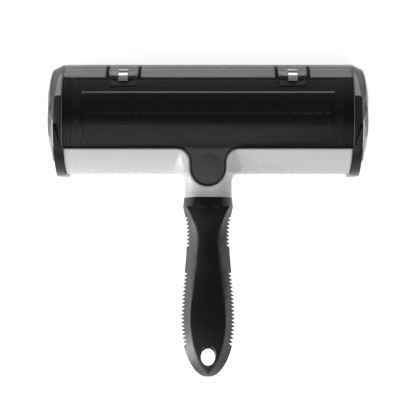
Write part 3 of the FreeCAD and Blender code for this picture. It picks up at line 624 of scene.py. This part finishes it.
def pile_pad(side, fabric, fray):
    """The front (1) or rear (-1) pad: backing and pile inside the solid pad's form."""
    node = "lint_pad_front" if side > 0 else "lint_pad_rear"
    low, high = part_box(node)
    tube_low, tube_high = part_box("drum_tube")
    middle = tube_low.lerp(tube_high, 0.5)
    core = (tube_high.z - tube_low.z) / 2
    outer = middle.z - low.z
    base = outer - PILE_HEIGHT
    arc = (math.acos(min(1, (high.z - middle.z) / outer)), math.pi - PAD_MARGIN / outer)

    def point(x, angle, radius):
        """A point on this pad's side of the drum, at an angle from straight up."""
        y = middle.y + side * radius * math.sin(angle)
        return (x, y, middle.z + radius * math.cos(angle))

    verts, faces = pad_backing(point, (low.x, high.x), arc, (core, base))
    kinds = [0] * len(faces)
    rng = random.Random(PILE_SEED + side)
    for frayed, blade in pad_pile(rng, point, (low.x, high.x), arc, (base, outer)):
        count = len(verts)
        verts += blade
        faces.append((count, count + 1, count + 2))
        kinds.append(1 if frayed else 0)
    obj = piece(node + "_pile", verts, faces, (fabric, fray), "drum")
    obj.data.polygons.foreach_set("material_index", kinds)
    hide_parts(node)


# Small pieces

def slot_shade_strip(side, place, x, material):
    """A dark strip behind a slot of the hood: painted shade that keeps the slot dark."""
    name = "slot_shade_strip_" + word(side) + "_" + place
    ends = (side * x - SLOT_SHADE_HALF, side * x + SLOT_SHADE_HALF)
    arc_strip(name, ends, SLOT_SHADE_DEPTH, SLOT_SHADE_ARC, material)


def tab_plate(side, material):
    """A thin pale plate behind a spring tab, between its two strips of painted slot shade."""
    ends = (side * (SLOT_X[0] + SLOT_SHADE_HALF), side * (SLOT_X[1] - SLOT_SHADE_HALF))
    arc_strip("tab_plate_" + word(side), ends, PLATE_DEPTH, PLATE_ARC, material)


def tab_gap_shade(side, material):
    """A thin black strip along a spring tab's rear edge, over the lid's notch, its corners
    forward: a painted shadow of the gap behind the tab.
    """
    middle = sum(SLOT_X) / 2
    corners = ((0, TAB_SHADE_LOW), (0, TAB_SHADE_HIGH), (TAB_SHADE_WIDTH, TAB_SHADE_HIGH), (TAB_SHADE_WIDTH, TAB_SHADE_LOW))
    rings = []
    for k in range(TAB_SHADE_STEPS + 1):
        across = TAB_SHADE_HALF * math.sin(math.pi * (k / TAB_SHADE_STEPS - 0.5))
        over = max(0, abs(across) - (TAB_SHADE_HALF - TAB_SHADE_CORNER))
        turn = TAB_SHADE_CORNER - math.sqrt(max(0, TAB_SHADE_CORNER**2 - over**2))
        ring = []
        for forward, height in corners:
            y = TAB_SHADE_Y + turn + forward
            z = AXIS_Z + math.sqrt((HOOD_R + height) ** 2 - y**2)
            ring.append((side * (middle + across), HEAD_Y + y, z))
        rings.append(ring)
    bar("tab_gap_shade_" + word(side), rings, material, "housing")


def seam_path(grow):
    """Half of the lid's rear edge and its tongue in plan, from the middle of the tongue's end."""
    r, fillet, rear = TONGUE_R + grow, TONGUE_FILLET - grow, LID_REAR - grow
    turns = [math.radians(90 * k / SEAM_STEPS) for k in range(SEAM_STEPS + 1)]
    tip = [(r * math.sin(turn), TONGUE_Y - r * math.cos(turn)) for turn in turns]
    x, y = r + fillet, rear - fillet
    corner = [(x - fillet * math.cos(turn), y + fillet * math.sin(turn)) for turn in turns]
    return tip + corner + [(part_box("lid")[1].x, rear)]


def surface(node):
    """A function that gives the height of a node's top at x, y."""
    data = NODES[node].data
    points = [vertex.co for vertex in data.vertices]
    tree = BVHTree.FromPolygons(points, [polygon.vertices[:] for polygon in data.polygons])

    def height(x, y):
        return tree.ray_cast(Vector((x, y, 1)), Vector((0, 0, -1)))[0].z

    return height


def lid_seam_shade(material):
    """A thin black strip along the lid's rear edge and round its tongue: painted shade in the seam
    there.
    """
    height = surface("lid")
    rows = list(zip(seam_path(-SEAM_SHADE_WIDTH), seam_path(0)))
    rows = [tuple((-x, y) for x, y in row) for row in reversed(rows[1:])] + rows
    rings = []
    for (near_x, near_y), (far_x, far_y) in rows:
        near_z = height(near_x * INWARD, HEAD_Y + (near_y + FORWARD)) + SEAM_SHADE_RISE
        far_z = near_z - (near_y - far_y) * TONGUE_SLOPE
        rings.append([
            (near_x, HEAD_Y + near_y, near_z),
            (near_x, HEAD_Y + near_y, near_z - SEAM_SHADE_DEPTH),
            (far_x, HEAD_Y + far_y, far_z - SEAM_SHADE_DEPTH),
            (far_x, HEAD_Y + far_y, far_z),
        ])
    bar("lid_seam_shade", rings, material, "lid")


def end_seal(side, material):
    """A soft strip that closes the gap between the bottom plate's end and the end plate."""
    low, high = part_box("base_frame")
    middle = high.x if side > 0 else low.x
    turns = [math.pi * k / SEAL_STEPS for k in range(SEAL_STEPS + 1)]
    round_top = [(SEAL_RADIUS * math.cos(turn), SEAL_RADIUS * math.sin(turn)) for turn in turns]
    near, far = (
        [(middle + across, y, high.z + up) for across, up in round_top]
        for y in (low.y + SEAL_INSET, high.y - SEAL_INSET)
    )
    prism("end_seal_" + word(side), near, far, material)


def clip(side, material):
    """A bent steel clip: a low bar in front, a groove, a ridge and a tail to the rear."""
    node = "hinge_clip_" + word(side)
    low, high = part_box(node)
    near, far = (
        [(x, HEAD_Y + y * MM, AXIS_Z + z * MM) for y, z in CLIP_PROFILE] for x in (low.x, high.x)
    )
    obj = prism(node + "_spring", near, far, material)
    round_edges(obj, CLIP_EDGE)
    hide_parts(node)


# Stage

def seen_ray(tree):
    """1 for rays from the eye, also by way of a mirror or through something clear."""
    path = tree.nodes.new("ShaderNodeLightPath")
    total = path.outputs["Is Camera Ray"]
    for kind in ("Is Glossy Ray", "Is Transmission Ray"):
        total = combine(tree, "MAXIMUM", total, path.outputs[kind])
    return total


def floor():
    """Pale floor that reads as white, and still takes the shadow."""
    bpy.ops.mesh.primitive_plane_add(size=FLOOR_SIZE, location=(0, 0, 0))
    plane = bpy.context.object
    plane.name = "floor"
    material, tree, shader, place = new_material("floor_paper")
    shader.inputs["Roughness"].default_value = 0.9
    gloss(shader, 0.1)
    tone(tree, shader, noise(tree, place, 400), 0.90, 0.92)
    shader.inputs["Emission Color"].default_value = (1, 1, 1, 1)
    glow = between(tree, seen_ray(tree), 0, FLOOR_GLOW, 0, 1)
    tree.links.new(glow, shader.inputs["Emission Strength"])
    dress(plane, material)


def lamp(name, place, target, size, power):
    data = bpy.data.lights.new(name, "AREA")
    data.shape = "RECTANGLE"
    data.size, data.size_y = size
    data.energy = power
    obj = bpy.data.objects.new(name, data)
    obj.location = place
    aim = Vector(target) - Vector(place)
    obj.rotation_euler = aim.to_track_quat("-Z", "Y").to_euler()
    bpy.context.scene.collection.objects.link(obj)


def world():
    """A studio that is light at the horizon and dark overhead, and white to the camera."""
    sky = bpy.data.worlds.new("studio")
    sky.use_nodes = True
    tree = sky.node_tree
    up = split(tree, tree.nodes.new("ShaderNodeTexCoord").outputs["Generated"])["Z"]
    mix = tree.nodes.new("ShaderNodeMix")
    mix.data_type = "RGBA"
    seen = tree.nodes.new("ShaderNodeLightPath").outputs["Is Camera Ray"]
    tree.links.new(seen, mix.inputs["Factor"])
    tree.links.new(ramp(tree, up, SKY), mix.inputs["A"])
    mix.inputs["B"].default_value = (1, 1, 1, 1)
    tree.links.new(mix.outputs["Result"], tree.nodes["Background"].inputs["Color"])
    bpy.context.scene.world = sky


def camera():
    data = bpy.data.cameras.new("photo_camera")
    data.sensor_fit = "HORIZONTAL"
    data.angle = VIEW_ANGLE
    obj = bpy.data.objects.new("photo_camera", data)
    obj.location = (0, CAMERA_Y, CAMERA_Z)
    bpy.context.scene.collection.objects.link(obj)
    bpy.context.scene.camera = obj


def studio():
    bpy.context.scene.view_settings.view_transform = "Standard"
    world()
    camera()
    floor()
    for setting in LAMPS:
        lamp(*setting)


finishes = dress_nodes()
for node, width in EDGES.items():
    soften(node, width)
fray, gap_shade_finish, backing, pin_finish = pale_fibre(), painted_gap_shade(), tab_backing(), blued_steel()
for side in (1, -1):
    pile_pad(side, finishes["lint_fabric"], fray)
for side in (-1, 1):
    for place, x in zip(("outer", "inner"), reversed(SLOT_X)):
        # Dark strips behind the slots: painted shade.
        slot_shade_strip(side, place, x, gap_shade_finish)
# Black strip round the lid's rear seam and tongue: painted shade.
lid_seam_shade(gap_shade_finish)
for side in (-1, 1):
    tab_plate(side, backing)
    # Black strip behind each spring tab: painted shadow.
    tab_gap_shade(side, gap_shade_finish)
    end_seal(side, finishes["wiper_rubber"])
for side in (-1, 1):
    clip(side, finishes["bright_clip"])
    dress(NODES["hinge_pin_" + word(side)], pin_finish)
studio()
